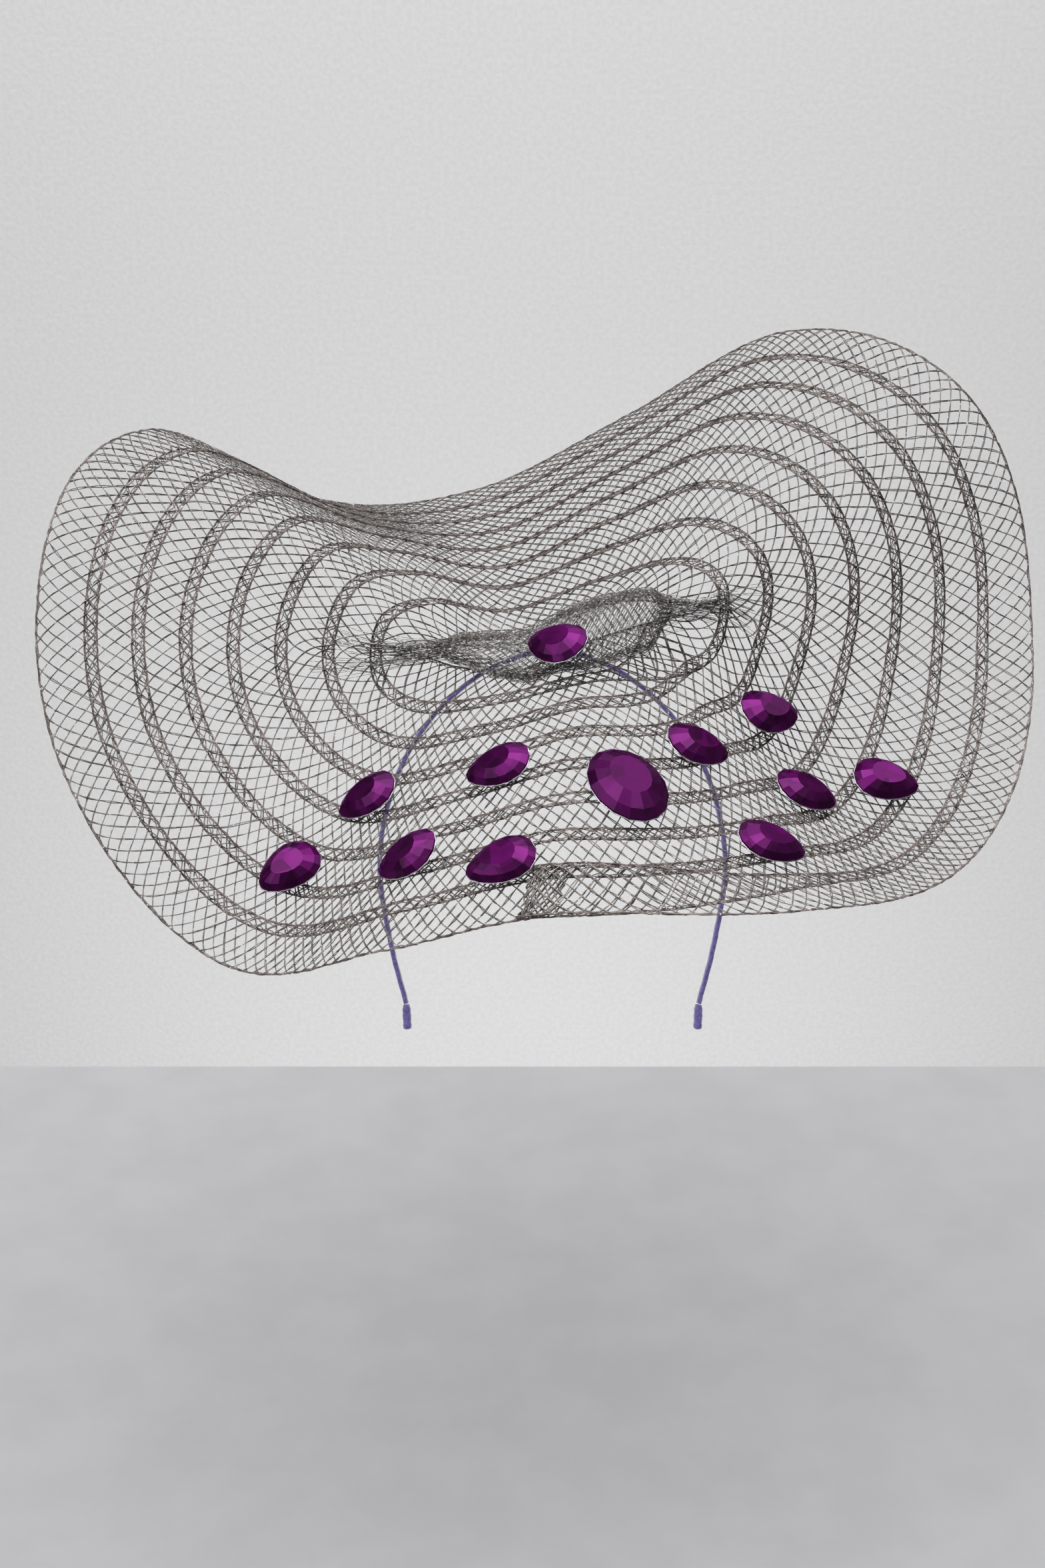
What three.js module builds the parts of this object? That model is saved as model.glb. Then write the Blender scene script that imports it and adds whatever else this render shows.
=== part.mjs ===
// A saucer fascinator wound from one flat tubular crinoline braid, on a narrow alice band.
// Millimetres, +Z up, -Y to the front, +X to the viewer's right.
// The origin is the underside of the band's crown, where the band sits on the head.
import * as THREE from "three";

// The braid and how it is wound
const BRAID_WIDTH = 25.6;
const BRAID_THICKNESS = 1.0;
const TURN_PITCH = 20;
const TURNS_OUTSIDE_OVAL = 7;
const STEPS_PER_TURN = 72;
const TURNS_IN_ALL = 8;
const BRAID_OVERLAP = BRAID_WIDTH - TURN_PITCH;
const REACH = TURNS_OUTSIDE_OVAL * TURN_PITCH + BRAID_OVERLAP / 2;
const INNERMOST = BRAID_OVERLAP / 2 - BRAID_WIDTH;

// Each turn's inner edge is raised and its outer edge lowered, so that it laps over the next turn in
const SHINGLE_RISE = 1.25;
// The braid's tail lies over the turn below it by this much more, and the innermost turn lies lower
const TAIL_LIFT = 2.2;
const INNERMOST_DROP = 1.7;
const INNERMOST_DROP_FROM = 6.85;
const INNERMOST_DROP_OVER = 0.2;

// Fractions of a turn, counted from the right end towards the back
const TAIL_END = 0.769;
const STEP_START = 0.79;
const STEP_END = 0.885;

// The long oval that the turns run round, and the slit left open inside it for the knot
const OVAL = { halfLength: 72, halfWidth: 30 };
const SLIT = { halfLength: 50, halfWidth: 11 };
const MID_RING_RADIUS = 60;

// How the brim sits on the band: forward tilt, turn about the upright, and the oval's centre
const BRIM_TILT_DEG = 22;
const BRIM_YAW_DEG = -4;
const BRIM_CENTRE = new THREE.Vector3(-2, -3, 12);

// The brim's waves, one row for each of 14 equal parts of a turn, from the right end towards the back.
// rise is the oval's height in mm, and the slopes are the brim's climb outwards in degrees at the oval,
// half way out and at the rim. fan is how far the way out has turned aside at the rim, in degrees.
const BRIM_SECTIONS = [
  { rise: 19, slopeOval: -44, slopeMid: -11, slopeRim: 29, fan: 19 },
  { rise: 28, slopeOval: 10, slopeMid: 13, slopeRim: 14, fan: 12 },
  { rise: 26, slopeOval: 21, slopeMid: 12, slopeRim: -2, fan: 6 },
  { rise: 7, slopeOval: 3, slopeMid: -5, slopeRim: -17, fan: 5 },
  { rise: -11, slopeOval: -11, slopeMid: -16, slopeRim: -21, fan: 9 },
  { rise: -1, slopeOval: 2, slopeMid: -20, slopeRim: -21, fan: 13 },
  { rise: -2, slopeOval: 24, slopeMid: 14, slopeRim: 5, fan: 9 },
  { rise: -13, slopeOval: 10, slopeMid: 24, slopeRim: 33, fan: 3 },
  { rise: -22, slopeOval: -4, slopeMid: 8, slopeRim: 18, fan: -4 },
  { rise: -23, slopeOval: -11, slopeMid: -10, slopeRim: -4, fan: -9 },
  { rise: -9, slopeOval: 4, slopeMid: 1, slopeRim: -3, fan: -12 },
  { rise: 5, slopeOval: 15, slopeMid: 4, slopeRim: 4, fan: -15 },
  { rise: 3, slopeOval: -15, slopeMid: 2, slopeRim: 20, fan: -2 },
  { rise: 5, slopeOval: -47, slopeMid: -14, slopeRim: 27, fan: 10 },
];
const MERIDIAN_STEPS = 40;
const ANGLE_STEPS = 720;

// The gathered knot over the slit: a row for each section from the left tip to the right tip.
// x and y are from the oval's centre, half is half its width, height is its top over the slit's edge.
const KNOT_SECTIONS = [
  { x: -48, y: -2, half: 1.5, height: 2 },
  { x: -36, y: -2, half: 7.5, height: 6 },
  { x: -20, y: -4, half: 11.5, height: 7.5 },
  { x: 0, y: -7, half: 14, height: 6 },
  { x: 20, y: -8, half: 14.5, height: 8 },
  { x: 40, y: -5, half: 10.5, height: 9 },
  { x: 50, y: -1, half: 2, height: 3 },
];
const KNOT_STEPS = 32;
const KNOT_SIDES = 20;
const KNOT_FOLDS = 5;
const KNOT_FOLD_DEPTH = 0.09;
const KNOT_FOLD_TWIST = 0.05;
// The folds overhang the slit's edges on a lip, and a narrower root goes down through the slit
const KNOT_LIP = 2.8;
const KNOT_ROOT_DEPTH = 2.2;
const KNOT_ROOT_HALF = 6.5;

// The stones
const PEAR = { length: 27, width: 21, height: 5, taper: 0.4, sides: 16 };
const OVAL_STONE = { length: 40, width: 30, height: 6, taper: 0, sides: 16 };
const GIRDLE = 0.9;
const CROWN = { scale: 0.84, height: 0.55 };
const TABLE_SCALE = 0.52;
// A stone's seat off the brim, and how much more a leaning stone needs for its low edge
const STONE_SEAT = 3.9;
const LEAN_REACH = 12;

// The stones on the brim: part of a turn, distance out from the oval, the turn of the tip from straight
// out towards the next section, and the lean of the face onwards along the turn and outwards
const BRIM_STONES = [
  { name: "gem_pear_01", cut: PEAR, turn: 0.656, out: 54, tip: -56, leanOn: -6, leanOut: 5 },
  { name: "gem_pear_02", cut: PEAR, turn: 0.639, out: 95, tip: -17, leanOn: -5, leanOut: 2 },
  { name: "gem_pear_03", cut: PEAR, turn: 0.708, out: 99, tip: -77, leanOn: -4, leanOut: 9 },
  { name: "gem_pear_04", cut: PEAR, turn: 0.738, out: 57, tip: -87, leanOn: 4, leanOut: 8 },
  { name: "gem_pear_05", cut: PEAR, turn: 0.757, out: 116, tip: -75, leanOn: 5, leanOut: 7 },
  { name: "gem_pear_06", cut: PEAR, turn: 0.845, out: 44, tip: 80, leanOn: 1, leanOut: 1 },
  { name: "gem_pear_07", cut: PEAR, turn: 0.927, out: 34, tip: 52, leanOn: 10, leanOut: -9 },
  { name: "gem_pear_08", cut: PEAR, turn: 0.899, out: 71, tip: 51, leanOn: -3, leanOut: 2 },
  { name: "gem_pear_09", cut: PEAR, turn: 0.941, out: 92, tip: 22, leanOn: 5, leanOut: 7 },
  { name: "gem_pear_10", cut: PEAR, turn: 0.856, out: 104, tip: 67, leanOn: 3, leanOut: 9 },
  { name: "gem_oval", cut: OVAL_STONE, turn: 0.802, out: 77, tip: 18, leanOn: -3, leanOut: -1 },
];
// The stone on the knot: where along the slit, how far round the knot from its back edge over its top,
// its seat off the folds, the lean of its face to the left, and the turn of its tip from the right
const KNOT_STONE = { x: 6.8, roundDeg: 157, seat: 6, leanDeg: 21, tipTurnDeg: 152 };

// The alice band: half its width and its drop below the crown, along its middle
const BAND_WIDTH = 5.5;
const BAND_THICKNESS = 2.0;
const BAND_LEAN_DEG = 23;
const BAND_PATH = [
  { half: 24, drop: 6.5 },
  { half: 46, drop: 23 },
  { half: 62, drop: 46 },
  { half: 70, drop: 70 },
  { half: 72, drop: 92 },
  { half: 67, drop: 124 },
  { half: 61, drop: 147 },
];
const BAND_STEPS = 56;
const TIP = { width: 6.5, thickness: 3.6, length: 10, gap: 0.8, flareDeg: 12 };

const BRAID_MATERIAL = new THREE.MeshStandardMaterial({ color: 0x8a827b, roughness: 0.35, metalness: 0.7 });
const STONE_MATERIAL = new THREE.MeshStandardMaterial({ color: 0x5e0f6a, roughness: 0.08, metalness: 0.1 });
const BAND_MATERIAL = new THREE.MeshStandardMaterial({ color: 0x5d4f94, roughness: 0.5, metalness: 0 });
const TIP_MATERIAL = new THREE.MeshStandardMaterial({ color: 0x51458a, roughness: 0.55, metalness: 0 });

const radians = THREE.MathUtils.degToRad;
const smooth = (t) => THREE.MathUtils.smoothstep(t, 0, 1);
const wholeTurn = (turn) => turn - Math.floor(turn);

// A closed solid from rings of points, each ring running the same way round, with flat ends.
function loft(rings) {
  const sides = rings[0].length;
  const points = rings.flat();
  const faces = [];
  for (let r = 0; r + 1 < rings.length; r++) {
    for (let s = 0; s < sides; s++) {
      const a = r * sides + s;
      const b = r * sides + ((s + 1) % sides);
      faces.push(a, b, b + sides, a, b + sides, a + sides);
    }
  }
  const last = (rings.length - 1) * sides;
  for (let s = 1; s + 1 < sides; s++) {
    faces.push(0, s + 1, s, last, last + s, last + s + 1);
  }
  const geometry = new THREE.BufferGeometry().setFromPoints(points);
  geometry.setIndex(faces);
  geometry.computeVertexNormals();
  return geometry;
}

function piece(name, geometry, material) {
  const mesh = new THREE.Mesh(geometry, material);
  mesh.name = name;
  return mesh;
}

// Smooth value of a column at a part of a turn, through the rows all the way round.
function around(column, turn) {
  const rows = BRIM_SECTIONS.length;
  const place = wholeTurn(turn) * rows;
  const row = Math.floor(place);
  const t = place - row;
  const [a, b, c, d] = [row + rows - 1, row, row + 1, row + 2].map((i) => BRIM_SECTIONS[i % rows][column]);
  return b + 0.5 * t * (c - a + t * (2 * a - 5 * b + 4 * c - d + t * (3 * (b - c) + d - a)));
}

const support = (angle) => Math.hypot(OVAL.halfLength * Math.cos(angle), OVAL.halfWidth * Math.sin(angle));

// Share of the half-way turn's length up to each direction of the oval's outward normal.
const ANGLE_SHARES = (() => {
  const radius = (angle) => (OVAL.halfLength * OVAL.halfWidth) ** 2 / support(angle) ** 3 + MID_RING_RADIUS;
  const step = (2 * Math.PI) / ANGLE_STEPS;
  const shares = [0];
  for (let i = 1; i <= ANGLE_STEPS; i++) {
    shares.push(shares[i - 1] + (radius((i - 1) * step) + radius(i * step)) / 2);
  }
  return shares.map((share) => share / shares[ANGLE_STEPS]);
})();

// Direction of the oval's outward normal at a part of a turn.
function outwardAngle(turn) {
  const share = wholeTurn(turn);
  const i = Math.max(1, ANGLE_SHARES.findIndex((s) => s > share));
  const t = (share - ANGLE_SHARES[i - 1]) / (ANGLE_SHARES[i] - ANGLE_SHARES[i - 1]);
  return ((i - 1 + t) * 2 * Math.PI) / ANGLE_STEPS;
}

// The way out from the oval to the rim at a part of a turn, as evenly spaced points.
function meridian(turn) {
  const angle = outwardAngle(turn);
  const h = support(angle);
  const slide = ((OVAL.halfWidth ** 2 - OVAL.halfLength ** 2) * Math.sin(angle) * Math.cos(angle)) / h;
  const start = new THREE.Vector3(
    h * Math.cos(angle) - slide * Math.sin(angle),
    h * Math.sin(angle) + slide * Math.cos(angle),
    around("rise", turn),
  );
  const [oval, mid, rim] = ["slopeOval", "slopeMid", "slopeRim"].map((column) => around(column, turn));
  const fan = around("fan", turn);
  const heading = (t) => {
    const slope = radians(2 * (t - 0.5) * (t - 1) * oval + 4 * t * (1 - t) * mid + 2 * t * (t - 0.5) * rim);
    const way = angle + radians(fan * t);
    return new THREE.Vector3(Math.cos(slope) * Math.cos(way), Math.cos(slope) * Math.sin(way), Math.sin(slope));
  };
  const points = [start];
  for (let i = 1; i <= MERIDIAN_STEPS; i++) {
    const step = heading((i - 1) / MERIDIAN_STEPS).add(heading(i / MERIDIAN_STEPS));
    points.push(points[i - 1].clone().addScaledVector(step, REACH / MERIDIAN_STEPS / 2));
  }
  return points;
}

// Height of the slit's edge: the mean of the oval's two sides.
const slitRise = (turn) => (around("rise", turn) + around("rise", 1 - turn)) / 2;

// A point of the brim at a part of a turn and a distance out from the oval (negative inside it).
function brimPoint(turn, out) {
  const points = meridian(turn);
  if (out >= 0) {
    const place = Math.min((out / REACH) * MERIDIAN_STEPS, MERIDIAN_STEPS - 1e-9);
    const i = Math.floor(place);
    return points[i].clone().lerp(points[i + 1], place - i);
  }
  const ellipse = Math.atan2(points[0].y / OVAL.halfWidth, points[0].x / OVAL.halfLength);
  const edge = new THREE.Vector3(
    SLIT.halfLength * Math.cos(ellipse),
    SLIT.halfWidth * Math.sin(ellipse),
    slitRise(turn),
  );
  return points[0].clone().lerp(edge, out / INNERMOST);
}

// The brim's local frame: outwards, along the turn, and up off the surface.
function brimFrame(turn, out) {
  const probe = 0.002;
  const outwards = brimPoint(turn, out + 0.5).sub(brimPoint(turn, out - 0.5)).normalize();
  const along = brimPoint(turn + probe, out).sub(brimPoint(turn - probe, out)).normalize();
  const up = new THREE.Vector3().crossVectors(outwards, along).normalize();
  return { point: brimPoint(turn, out), outwards, along, up };
}

// The spiral, from the tail end at the front rim inwards. Each turn steps in by one pitch at the front right.
function braidSpiral() {
  const rings = [];
  for (let i = 0; i <= TURNS_IN_ALL * STEPS_PER_TURN; i++) {
    const wound = i / STEPS_PER_TURN;
    const turn = TAIL_END + wound;
    const stepped = (whole) => smooth((wound - whole - STEP_START + TAIL_END) / (STEP_END - STEP_START));
    let steps = 0;
    for (let whole = 1; whole < TURNS_IN_ALL; whole++) {
      steps += stepped(whole);
    }
    const drop = INNERMOST_DROP * smooth((wound - INNERMOST_DROP_FROM) / INNERMOST_DROP_OVER);
    const lift = TAIL_LIFT * (1 - stepped(0)) - drop;
    const outer = REACH - steps * TURN_PITCH;
    const edge = (out, rise) => {
      const { point, up } = brimFrame(turn, out);
      return [-0.5, 0.5].map((side) => point.clone().addScaledVector(up, rise + side * BRAID_THICKNESS));
    };
    const [outerLow, outerHigh] = edge(outer, lift - SHINGLE_RISE);
    const [innerLow, innerHigh] = edge(outer - BRAID_WIDTH, lift + SHINGLE_RISE);
    rings.push([innerLow, innerHigh, outerHigh, outerLow]);
  }
  return loft(rings);
}

const KNOT_LEFT = KNOT_SECTIONS[0].x;
const KNOT_RIGHT = KNOT_SECTIONS.at(-1).x;

// Smooth middle, half width, height and lip level of the knot at a share of its length.
function knotSection(share) {
  const x = THREE.MathUtils.lerp(KNOT_LEFT, KNOT_RIGHT, share);
  const row = Math.min(KNOT_SECTIONS.findLastIndex((section) => section.x <= x), KNOT_SECTIONS.length - 2);
  const [before, after] = [KNOT_SECTIONS[row], KNOT_SECTIONS[row + 1]];
  const t = smooth((x - before.x) / (after.x - before.x));
  const column = (name) => THREE.MathUtils.lerp(before[name], after[name], t);
  const turn = Math.acos(THREE.MathUtils.clamp(x / SLIT.halfLength, -1, 1)) / (2 * Math.PI);
  return {
    middle: new THREE.Vector3(x, column("y"), 0),
    half: column("half"),
    height: column("height"),
    base: slitRise(turn) + KNOT_LIP,
  };
}

// The gathered knot: a lens of twisted folds that fills the slit, with a flat underside.
function gatheredKnot() {
  const rings = [];
  for (let i = 0; i <= KNOT_STEPS; i++) {
    const { middle, half, height, base } = knotSection(i / KNOT_STEPS);
    const ring = [];
    for (let s = 0; s < KNOT_SIDES; s++) {
      const angle = (2 * Math.PI * s) / KNOT_SIDES;
      const fold = 1 + KNOT_FOLD_DEPTH * Math.cos(KNOT_FOLDS * angle + KNOT_FOLD_TWIST * middle.x);
      const root = s > KNOT_SIDES / 2;
      const back = root
        ? Math.min(half, KNOT_ROOT_HALF) * Math.cos(angle)
        : middle.y + half * fold * Math.cos(angle);
      const up = root ? KNOT_ROOT_DEPTH : height * fold;
      ring.push(new THREE.Vector3(middle.x, back, base + up * Math.sin(angle)));
    }
    rings.push(ring);
  }
  return loft(rings);
}

// A cut stone with a flat back, a girdle, a ring of crown facets and a table. Its tip points along +X.
function cutStone({ length, width, height, taper, sides }) {
  const angles = Array.from({ length: sides }, (_, s) => (2 * Math.PI * s) / sides);
  const halfWidth = (angle) => Math.sin(angle) * (1 - taper * Math.cos(angle / 2) ** 2);
  const widest = Math.max(...angles.map(halfWidth));
  const layer = (scale, z) => angles.map((angle) => new THREE.Vector3(
    (scale * length * Math.cos(angle)) / 2,
    (scale * width * halfWidth(angle)) / widest / 2,
    z,
  ));
  return loft([
    layer(1, 0),
    layer(1, GIRDLE),
    layer(CROWN.scale, CROWN.height * height),
    layer(TABLE_SCALE, height),
  ]);
}

function brimStone({ name, cut, turn, out, tip, leanOn, leanOut }) {
  const { point, outwards, along, up } = brimFrame(turn, out);
  const seat = STONE_SEAT + LEAN_REACH * Math.sin(radians(Math.hypot(leanOn, leanOut)));
  point.addScaledVector(up, seat);
  up.addScaledVector(outwards, Math.tan(radians(leanOut))).addScaledVector(along, Math.tan(radians(leanOn))).normalize();
  const pointing = outwards.multiplyScalar(Math.cos(radians(tip)));
  pointing.addScaledVector(along, Math.sin(radians(tip)));
  pointing.addScaledVector(up, -pointing.dot(up)).normalize();
  const across = new THREE.Vector3().crossVectors(up, pointing);
  const stone = piece(name, cutStone(cut), STONE_MATERIAL);
  stone.quaternion.setFromRotationMatrix(new THREE.Matrix4().makeBasis(pointing, across, up));
  stone.position.copy(point);
  return stone;
}

// A stone on the front of the knot, its face upwards from the brim and leaning to the left.
function knotStone() {
  const round = radians(KNOT_STONE.roundDeg);
  const { middle, half, height, base } = knotSection((KNOT_STONE.x - KNOT_LEFT) / (KNOT_RIGHT - KNOT_LEFT));
  const lean = radians(KNOT_STONE.leanDeg);
  const up = new THREE.Vector3(-Math.sin(lean), 0, Math.cos(lean));
  const rightwards = new THREE.Vector3(Math.cos(lean), 0, Math.sin(lean));
  const pointing = rightwards.applyAxisAngle(up, radians(KNOT_STONE.tipTurnDeg));
  const across = new THREE.Vector3().crossVectors(up, pointing);
  const stone = piece("gem_knot", cutStone(PEAR), STONE_MATERIAL);
  stone.quaternion.setFromRotationMatrix(new THREE.Matrix4().makeBasis(pointing, across, up));
  stone.position.set(KNOT_STONE.x, middle.y + half * Math.cos(round), base + height * Math.sin(round));
  stone.position.addScaledVector(up, KNOT_STONE.seat);
  return stone;
}

// The band's middle line, from the left tip over the crown to the right tip, in its own upright plane.
function bandCurve() {
  const left = BAND_PATH.map(({ half, drop }) => new THREE.Vector3(-half, 0, -drop)).reverse();
  const right = BAND_PATH.map(({ half, drop }) => new THREE.Vector3(half, 0, -drop));
  return new THREE.CatmullRomCurve3([...left, new THREE.Vector3(0, 0, 0), ...right], false, "centripetal");
}

function bandSection(middle, direction, width, thickness) {
  const outwards = new THREE.Vector3(-direction.z, 0, direction.x).multiplyScalar(thickness / 2);
  const corner = (side, face) => middle.clone()
    .addScaledVector(outwards, face)
    .add(new THREE.Vector3(0, (side * width) / 2, 0));
  return [corner(-1, -1), corner(1, -1), corner(1, 1), corner(-1, 1)];
}

function headband() {
  const curve = bandCurve();
  const rings = [];
  for (let i = 0; i <= BAND_STEPS; i++) {
    const at = i / BAND_STEPS;
    rings.push(bandSection(curve.getPointAt(at), curve.getTangentAt(at), BAND_WIDTH, BAND_THICKNESS));
  }
  return loft(rings);
}

// The folded ribbon end past each end of the band, which turns out a little.
function bandTip(side) {
  const end = new THREE.Vector3(side * BAND_PATH.at(-1).half, 0, -BAND_PATH.at(-1).drop);
  const away = bandCurve().getTangentAt(1);
  const flare = Math.atan2(-away.x, -away.z) - radians(TIP.flareDeg);
  const direction = new THREE.Vector3(-side * Math.sin(flare), 0, -Math.cos(flare));
  const near = end.clone().addScaledVector(direction, TIP.gap);
  const far = near.clone().addScaledVector(direction, TIP.length);
  return loft([near, far].map((middle) => bandSection(middle, direction, TIP.width, TIP.thickness)));
}

const brim = new THREE.Group();
brim.position.copy(BRIM_CENTRE);
brim.rotation.z = radians(BRIM_YAW_DEG);
brim.add(piece("crin_spiral", braidSpiral(), BRAID_MATERIAL));
brim.add(piece("gathered_knot", gatheredKnot(), BRAID_MATERIAL));
BRIM_STONES.forEach((row) => brim.add(brimStone(row)));
brim.add(knotStone());

const tilted = new THREE.Group();
tilted.rotation.x = radians(BRIM_TILT_DEG);
tilted.add(brim);

const band = new THREE.Group();
band.position.z = BAND_THICKNESS / 2;
band.rotation.x = radians(-BAND_LEAN_DEG);
band.add(piece("headband", headband(), BAND_MATERIAL));
band.add(piece("band_tip_left", bandTip(-1), TIP_MATERIAL));
band.add(piece("band_tip_right", bandTip(1), TIP_MATERIAL));

const fascinator = new THREE.Group();
fascinator.add(tilted, band);

export default fascinator;
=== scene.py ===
"""A saucer fascinator of tubular crinoline braid on an alice band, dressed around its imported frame.

Metres, +Z up, -Y to the front. The origin is the underside of the band's crown.
"""

import bpy
import numpy as np
from bpy.props import FloatProperty, FloatVectorProperty, IntProperty, PointerProperty
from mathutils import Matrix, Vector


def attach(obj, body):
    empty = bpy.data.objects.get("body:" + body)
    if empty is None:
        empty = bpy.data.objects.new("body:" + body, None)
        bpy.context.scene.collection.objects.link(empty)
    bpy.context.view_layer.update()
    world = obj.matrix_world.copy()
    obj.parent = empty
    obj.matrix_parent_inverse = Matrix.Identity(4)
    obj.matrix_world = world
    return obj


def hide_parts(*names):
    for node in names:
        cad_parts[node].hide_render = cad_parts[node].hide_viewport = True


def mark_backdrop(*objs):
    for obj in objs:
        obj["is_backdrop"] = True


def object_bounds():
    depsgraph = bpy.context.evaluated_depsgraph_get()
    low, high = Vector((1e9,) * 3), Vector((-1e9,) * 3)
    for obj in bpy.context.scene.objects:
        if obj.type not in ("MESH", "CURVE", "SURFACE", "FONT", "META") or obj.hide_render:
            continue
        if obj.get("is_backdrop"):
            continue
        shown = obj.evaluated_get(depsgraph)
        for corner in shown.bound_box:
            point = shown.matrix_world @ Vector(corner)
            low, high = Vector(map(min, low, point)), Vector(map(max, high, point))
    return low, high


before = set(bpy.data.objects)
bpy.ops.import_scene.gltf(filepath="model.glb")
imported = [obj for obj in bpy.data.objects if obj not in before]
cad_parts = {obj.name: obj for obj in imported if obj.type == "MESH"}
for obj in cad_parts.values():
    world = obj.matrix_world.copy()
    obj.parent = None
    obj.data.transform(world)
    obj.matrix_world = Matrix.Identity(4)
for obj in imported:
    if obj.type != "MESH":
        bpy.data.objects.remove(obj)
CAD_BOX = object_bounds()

bl_info = {
    "name": "Saucer fascinator",
    "version": (1, 0, 0),
    "blender": (4, 5, 0),
    "location": "View3D > Sidebar > Fascinator",
    "description": "Dresses a saucer fascinator's frame in braid, ribbon and cut stones",
    "category": "Add Mesh",
}

MM = 0.001
BODY = "root"

# The braid and how it is wound: its pitch from turn to turn, and the turns wound where it starts, in the knot
BRAID_WIDTH = 25.6 * MM
TURN_PITCH = 20 * MM
TURNS_OUTSIDE_OVAL = 7
TURNS_IN_ALL = 8
BRAID_START = 8.125
BRAID_OVERLAP = BRAID_WIDTH - TURN_PITCH
REACH = TURNS_OUTSIDE_OVAL * TURN_PITCH + BRAID_OVERLAP / 2
INNERMOST = BRAID_OVERLAP / 2 - BRAID_WIDTH
TAIL_FOLD = 15 * MM
SHINGLE_RISE = 0.55 * MM
TAIL_LIFT = 1.5 * MM
INNERMOST_DROP = 0.8 * MM
INNERMOST_DROP_FROM = 6.85
INNERMOST_DROP_OVER = 0.2

# Fractions of a turn, counted from the right end towards the back
TAIL_END = 0.769
STEP_START = 0.79
STEP_END = 0.885

# Where the inner turns' inner edges are gathered to a point: the part of a turn, the turns wound where it
# begins and is whole, and the reach to each side as a part of a turn
PINCHES = ((0.508, 4.6, 5.7, 0.036), (0.0, 4.7, 5.6, 0.030))

# Half lengths and half widths of the oval that the turns run round and of the slit inside it
OVAL = (72 * MM, 30 * MM)
SLIT = (50 * MM, 11 * MM)
MID_RING_RADIUS = 60 * MM
BRIM_TILT = np.radians(22)
BRIM_YAW = np.radians(-4)
BRIM_CENTRE = np.array([-2, -3, 12]) * MM

# The brim's waves, a row for each fourteenth of a turn from the right end towards the back: the oval's
# rise in mm, the climb outwards in degrees at the oval, half way and at the rim, and how far the way out
# has turned aside at the rim, in degrees.
BRIM_SECTIONS = np.array([
    (19, -44, -11, 29, 19),
    (28, 10, 13, 14, 12),
    (26, 21, 12, -2, 6),
    (7, 3, -5, -17, 5),
    (-11, -11, -16, -21, 9),
    (-1, 2, -20, -21, 13),
    (-2, 24, 14, 5, 9),
    (-13, 10, 24, 33, 3),
    (-22, -4, 8, 18, -4),
    (-23, -11, -10, -4, -9),
    (-9, 4, 1, -3, -12),
    (5, 15, 4, 4, -15),
    (3, -15, 2, 20, -2),
    (5, -47, -14, 27, 10),
], dtype=[("rise", float), ("oval", float), ("mid", float), ("rim", float), ("fan", float)])

# The braid's mesh at the same sections, in mm: how far apart neighbouring strands of one slant are along
# the braid, and how far the outer edge is pulled along past the inner edge, at the rim and at the oval.
MESH_SECTIONS = np.array([
    (6.2, 5.0, -8, 10),
    (6.0, 5.3, 2, 7),
    (6.0, 5.3, 7.5, 8),
    (6.0, 5.6, 7, 12),
    (6.2, 5.5, 0, 4),
    (5.6, 4.8, -5, 0),
    (5.6, 4.7, -7, 8),
    (7.0, 4.6, 7, 1),
    (6.1, 5.3, 7, 5),
    (4.8, 4.5, 3, 4),
    (5.6, 5.6, 5, 3),
    (6.1, 5.4, 8, 8),
    (5.8, 5.6, 6, 6),
    (4.9, 4.6, -6, 2),
], dtype=[("gap_rim", float), ("gap_oval", float), ("pull_rim", float), ("pull_oval", float)])

# The gathered knot, a row for each section from the left tip, in mm from the oval's centre. The apron is how
# far its loose folds lie out over the net in front.
KNOT_SECTIONS = np.array([
    (-48, -2, 1.5, 2, 0),
    (-36, -2, 7.5, 6, 0),
    (-20, -4, 11.5, 7.5, 0.5),
    (0, -7, 14, 6, 2.5),
    (20, -8, 14.5, 8, 6),
    (40, -5, 10.5, 9, 7.5),
    (50, -1, 2, 3, 4.5),
], dtype=[("x", float), ("y", float), ("half", float), ("height", float), ("apron", float)])
KNOT_LIP = 2.8 * MM
APRON_SLOPE = 0.55
BACK_HEM = 6.5 * MM

# The band's middle line below its crown, in mm: half its width and its drop
BAND_PATH = np.array([
    (24, 6.5),
    (46, 23),
    (62, 46),
    (70, 70),
    (72, 92),
    (67, 124),
    (61, 147),
], dtype=[("half", float), ("drop", float)])
BAND_WIDTH = 5.5 * MM
BAND_THICKNESS = 2.0 * MM
BAND_LEAN = np.radians(-23)
BAND_SQUARENESS = 0.55
TIP_WIDTH = 6.5 * MM
TIP_THICKNESS = 3.6 * MM
TIP_LENGTH = 10 * MM
TIP_GAP = 0.8 * MM
TIP_FLARE = 12
TIP_SQUARENESS = 0.6

STONES = [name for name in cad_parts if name.startswith("gem_")]


# ---------------------------------------------------------------- numbers and shapes

def smooth(t):
    """3 t^2 - 2 t^3, held at 0 and 1 outside that range."""
    t = np.clip(t, 0, 1)
    return t * t * (3 - 2 * t)


def around(rows, column, turn):
    """A smooth closed curve through a column's rows, spaced evenly round one turn (Catmull-Rom)."""
    values, count = rows[column], len(rows)
    place = (turn % 1) * count
    row = np.floor(place).astype(int)
    t = place - row
    a, b, c, d = (values[(row + k) % count] for k in (-1, 0, 1, 2))
    return b + 0.5 * t * (c - a + t * (2 * a - 5 * b + 4 * c - d + t * (3 * (b - c) + d - a)))


def unit(vectors):
    """Each vector over its own length."""
    return vectors / np.linalg.norm(vectors, axis=-1, keepdims=True)


def rounded(value, power):
    """The value's size to a power with its sign kept: a power below 1 squares a circle's section up."""
    return np.sign(value) * np.abs(value) ** power


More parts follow.
